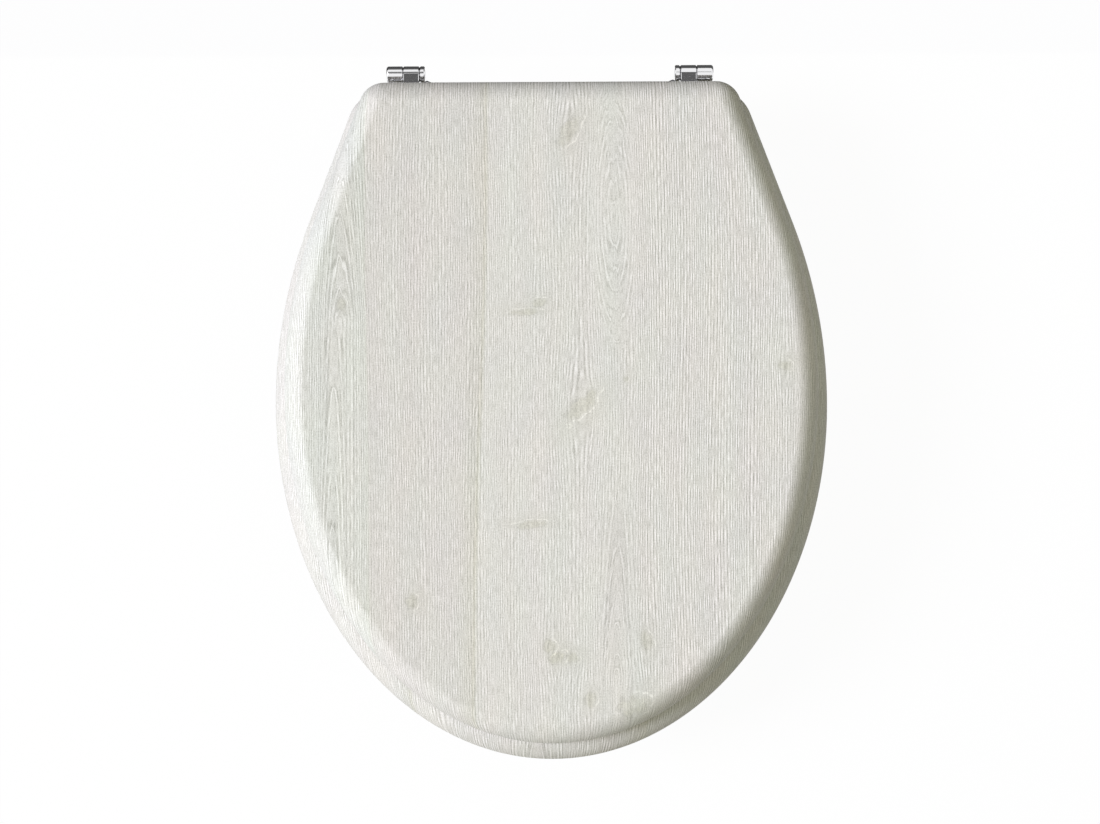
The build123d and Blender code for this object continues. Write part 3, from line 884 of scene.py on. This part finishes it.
sweep = bpy.data.materials.new("white_sweep")
sweep.use_nodes = True
tree = sweep.node_tree
tree.nodes.remove(tree.nodes["Principled BSDF"])
paper = tree.nodes.new("ShaderNodeBsdfDiffuse")
paper.inputs["Color"].default_value = white
glow = tree.nodes.new("ShaderNodeEmission")
glow.inputs["Color"].default_value = white
mostly_glow = shade_mix(tree, floor_glow, paper.outputs[0], glow.outputs[0])
dim_paper = tree.nodes.new("ShaderNodeBsdfDiffuse")
dim_paper.inputs["Color"].default_value = floor_bounce
surface = shade_mix(tree, seen_directly(tree), dim_paper.outputs[0], mostly_glow)
tree.links.new(surface, tree.nodes["Material Output"].inputs["Surface"])
mesh = bpy.data.meshes.new("floor")
signs = [(-1, -1), (1, -1), (1, 1), (-1, 1)]
corners = [(sign_x * floor_reach, sign_y * floor_reach, floor_z) for sign_x, sign_y in signs]
mesh.from_pydata(corners, [], [(0, 1, 2, 3)])
mesh.materials.append(sweep)
floor = bpy.data.objects.new("floor", mesh)
bpy.context.scene.collection.objects.link(floor)


# Light: a broad, cool key lamp low on the left, which brightens the boards' left edges and leaves
# the right ones in shade, and soft, warmer light from all round.
key_from = Vector((-0.775, 0.03, 0.63))
key_strength = 2.88
key_colour = (0.97, 0.98, 1.11)
key_spread = radians(24)
soft_colour = (1.03, 1.02, 0.80, 1)
soft_strength = 0.445
sun = bpy.data.lights.new("key_lamp", "SUN")
sun.energy = key_strength
sun.color = key_colour
sun.angle = key_spread
key = bpy.data.objects.new("key_lamp", sun)
key.rotation_euler = key_from.to_track_quat("Z", "Y").to_euler()
bpy.context.scene.collection.objects.link(key)
world = bpy.data.worlds.new("studio")
bpy.context.scene.world = world
world.use_nodes = True
tree = world.node_tree
soft = tree.nodes["Background"]
soft.inputs["Color"].default_value = soft_colour
soft.inputs["Strength"].default_value = soft_strength
bright = tree.nodes.new("ShaderNodeBackground")
bright.inputs["Color"].default_value = white
around = shade_mix(tree, seen_directly(tree), soft.outputs[0], bright.outputs[0])
tree.links.new(around, tree.nodes["World Output"].inputs["Surface"])


# Cards: dark boards round the hinges that mirror rays meet, so that the bright metal has something
# to reflect, and two black flags that keep soft light off the boards' back and front right edges.
over_z = 1.0
back_z = cad_low.z


def card(name, shade, corners, rays):
    """A board of one grey shade that only the named kinds of rays meet."""
    board = bpy.data.materials.new(name)
    board.use_nodes = True
    nodes = board.node_tree.nodes
    nodes.remove(nodes["Principled BSDF"])
    glow = nodes.new("ShaderNodeEmission")
    glow.inputs["Color"].default_value = (shade, shade, shade, 1)
    board.node_tree.links.new(glow.outputs[0], nodes["Material Output"].inputs["Surface"])
    mesh = bpy.data.meshes.new(name)
    mesh.from_pydata(corners, [], [(0, 1, 2, 3)])
    mesh.materials.append(board)
    made = bpy.data.objects.new(name, mesh)
    bpy.context.scene.collection.objects.link(made)
    made.visible_camera = False
    made.visible_glossy = "mirror" in rays
    made.visible_diffuse = "soft" in rays
    made.visible_transmission = False
    made.visible_shadow = False
    made.visible_volume_scatter = False


def level(name, shade, x, y, z, rays):
    """A level card over a span of X and of Y."""
    near = [(x[0], y[0], z), (x[1], y[0], z)]
    card(name, shade, near + [(x[1], y[1], z), (x[0], y[1], z)], rays)


def upright(name, shade, start, end, top, rays):
    """An upright card from one place on the ground to another."""
    foot = [(*start, back_z), (*end, back_z)]
    card(name, shade, foot + [(*end, top), (*start, top)], rays)


level("card_above", 0.12, x=(-0.5, 0.5), y=(0.13, 0.24), z=over_z, rays=["mirror"])
level("card_left", 0.12, x=(-0.5, 0.0), y=(0.30, 0.62), z=over_z, rays=["mirror"])
level("card_below", 0.08, x=(-1.5, 1.5), y=(0.04, 1.0), z=back_z, rays=["mirror", "soft"])
upright("card_behind", 0.11, start=(-1.5, 1.0), end=(1.5, 1.0), top=0.45, rays=["mirror"])
upright("flag_behind", 0.01, start=(-1.5, 0.5), end=(1.5, 0.5), top=0.45, rays=["soft"])
upright("flag_right", 0.01, start=(0.25, -0.85), end=(0.65, -0.4), top=0.4, rays=["soft"])


# Camera: straight above the middle of the closed lid, looking down, with the slight roll of the
# photograph.
photo_roll = radians(-0.28)
camera_place = (-1.0 * mm, -211.4 * mm, 1.414)
camera_lens = 68.4  # millimetres, for the sensor's width
camera_sensor = 36.0
camera_data = bpy.data.cameras.new("camera")
camera_data.lens = camera_lens
camera_data.sensor_width = camera_sensor
camera = bpy.data.objects.new("camera", camera_data)
camera.location = camera_place
camera.rotation_euler = (0, 0, photo_roll)
bpy.context.scene.collection.objects.link(camera)
bpy.context.scene.camera = camera
bpy.context.scene.view_settings.view_transform = "Standard"
